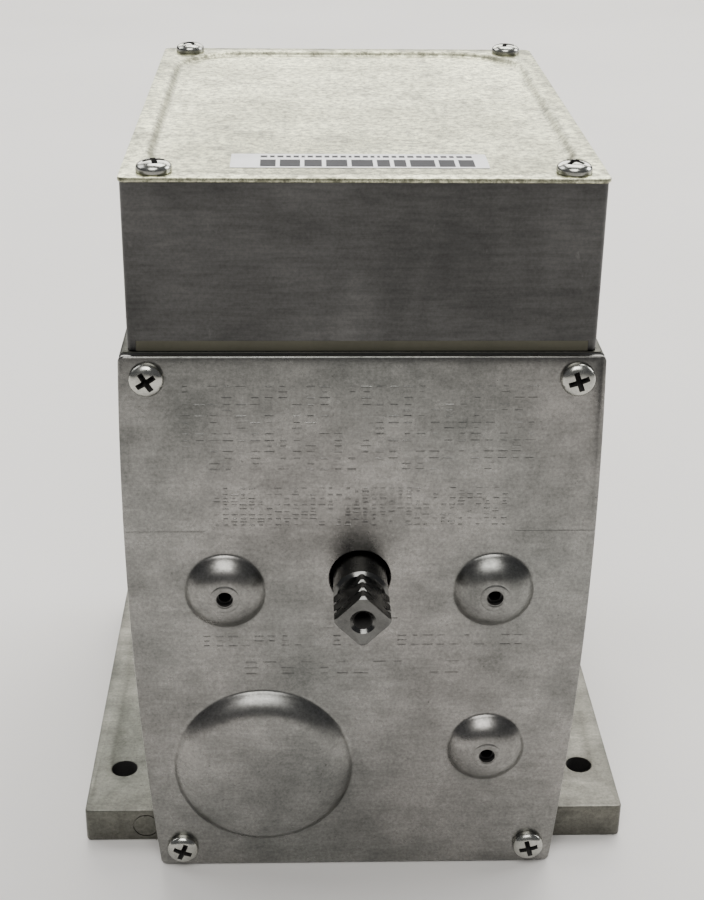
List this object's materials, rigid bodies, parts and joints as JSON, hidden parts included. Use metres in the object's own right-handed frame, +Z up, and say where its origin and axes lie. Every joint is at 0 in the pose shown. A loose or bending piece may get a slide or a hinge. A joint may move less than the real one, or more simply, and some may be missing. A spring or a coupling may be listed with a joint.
{
  "type": "valve and damper actuator motor",
  "caption": "Double-ended electric actuator motor with a cast flanged housing, pressed end plates, notched square output shaft and a sheet-metal wiring box with a screwed cover.",
  "frame": {"origin": "middle of the mounting flange's underside", "axes": "+Z up through the wiring box, -Y towards the auxiliary end of the shaft, +X to the right seen from that end"},
  "size_m": [0.1396, 0.179, 0.1822],
  "materials": {
    "cast_zinc": "dull mottled casting and pressed plate",
    "black_fibre": "matt gasket fibre",
    "brown_fibre": "oiled gasket fibre",
    "bright_screw": "bright zinc plated",
    "grey_steel": "dark grey plated sheet steel",
    "bright_zinc": "spangled galvanised sheet",
    "white_label": "plain white label",
    "laminations": "stacked laminations",
    "copper_winding": "enamelled winding",
    "black_plastic": "moulded",
    "brass": "machined",
    "green_steel": "green plated",
    "bronze": "sintered",
    "gear_steel": "machined",
    "shaft_steel": "dark oiled steel",
    "white_nylon": "moulded nylon",
    "red_plastic": "moulded"
  },
  "bodies": {
    "housing": {"motor_housing": "cast_zinc", "aux_end_plate": "cast_zinc", "power_end_plate": "cast_zinc", "aux_end_gasket": "black_fibre", "power_end_gasket": "black_fibre", "aux_plate_screw_1": "bright_screw", "aux_plate_screw_2": "bright_screw", "aux_plate_screw_3": "bright_screw", "aux_plate_screw_4": "bright_screw", "power_plate_screw_1": "bright_screw", "power_plate_screw_2": "bright_screw", "power_plate_screw_3": "bright_screw", "power_plate_screw_4": "bright_screw", "box_gasket": "brown_fibre", "wiring_box": "grey_steel", "box_cover": "bright_zinc", "cover_screw_1": "bright_screw", "cover_screw_2": "bright_screw", "cover_screw_3": "bright_screw", "cover_screw_4": "bright_screw", "cover_label": "white_label", "transformer_core": "laminations", "transformer_coil": "copper_winding", "terminal_block": "black_plastic", "terminal_screw_1": "brass", "terminal_screw_2": "brass", "terminal_screw_3": "brass", "terminal_screw_4": "brass", "ground_screw": "green_steel", "conduit_plug": "black_plastic", "shaft_bushing_front": "bronze", "shaft_bushing_rear": "bronze", "front_frame_plate": "grey_steel", "rear_frame_plate": "grey_steel", "pillar_1": "bright_screw", "pillar_2": "bright_screw", "pillar_3": "bright_screw", "axle_1": "gear_steel", "axle_2": "gear_steel", "axle_3": "gear_steel", "stator_core": "laminations", "stator_winding": "copper_winding", "motor_front_bell": "grey_steel", "motor_rear_bell": "grey_steel", "switch_bracket": "grey_steel", "limit_switch_1": "black_plastic", "limit_switch_2": "black_plastic", "potentiometer_body": "black_plastic"},
    "output_shaft": {"output_shaft": "shaft_steel", "output_gear": "gear_steel", "cam_1": "white_nylon", "cam_2": "white_nylon"},
    "first_cluster": {"gear_cluster_1": "gear_steel"},
    "second_cluster": {"gear_cluster_2": "gear_steel"},
    "third_cluster": {"gear_cluster_3": "gear_steel"},
    "rotor": {"rotor_core": "laminations", "rotor_shaft": "gear_steel"},
    "potentiometer_wiper": {"potentiometer_gear": "brass"},
    "limit_button_1": {"switch_button_1": "red_plastic"},
    "limit_button_2": {"switch_button_2": "red_plastic"}
  },
  "joints": [
    {"name": "shaft_turn", "type": "hinge", "parent": "housing", "child": "output_shaft", "pos_m": [0, 0, 0.084], "axis": [0, 1, 0], "range_deg": [0, 160]},
    {"name": "third_cluster_turn", "type": "hinge", "parent": "housing", "child": "third_cluster", "pos_m": [-0.01075, 0, 0.05599], "axis": [0, 1, 0], "range_deg": [-650, 10]},
    {"name": "second_cluster_turn", "type": "hinge", "parent": "housing", "child": "second_cluster", "pos_m": [0.0128, 0, 0.05138], "axis": [0, 1, 0], "range_deg": [-30, 2590]},
    {"name": "first_cluster_turn", "type": "hinge", "parent": "housing", "child": "first_cluster", "pos_m": [0.0008, 0, 0.0306], "axis": [0, 1, 0], "range_deg": [-10300, 60]},
    {"name": "rotor_turn", "type": "hinge", "parent": "housing", "child": "rotor", "pos_m": [-0.0232, 0, 0.0306], "axis": [0, 1, 0], "range_deg": [-200, 41160]},
    {"name": "potentiometer_turn", "type": "hinge", "parent": "housing", "child": "potentiometer_wiper", "pos_m": [-0.02546, 0, 0.10946], "axis": [0, 1, 0], "range_deg": [-325, 5]},
    {"name": "limit_button_1_press", "type": "slide", "parent": "housing", "child": "limit_button_1", "axis": [0, 0, 1], "range_m": [0, 0.0008], "stiffness_N_per_m": 120},
    {"name": "limit_button_2_press", "type": "slide", "parent": "housing", "child": "limit_button_2", "axis": [0, 0, 1], "range_m": [0, 0.0008], "stiffness_N_per_m": 120}
  ],
  "couplings": [
    {"joint": "third_cluster_turn", "follows": "shaft_turn", "ratio": -4},
    {"joint": "second_cluster_turn", "follows": "shaft_turn", "ratio": 16},
    {"joint": "first_cluster_turn", "follows": "shaft_turn", "ratio": -64},
    {"joint": "rotor_turn", "follows": "shaft_turn", "ratio": 256},
    {"joint": "potentiometer_turn", "follows": "shaft_turn", "ratio": -2}
  ]
}
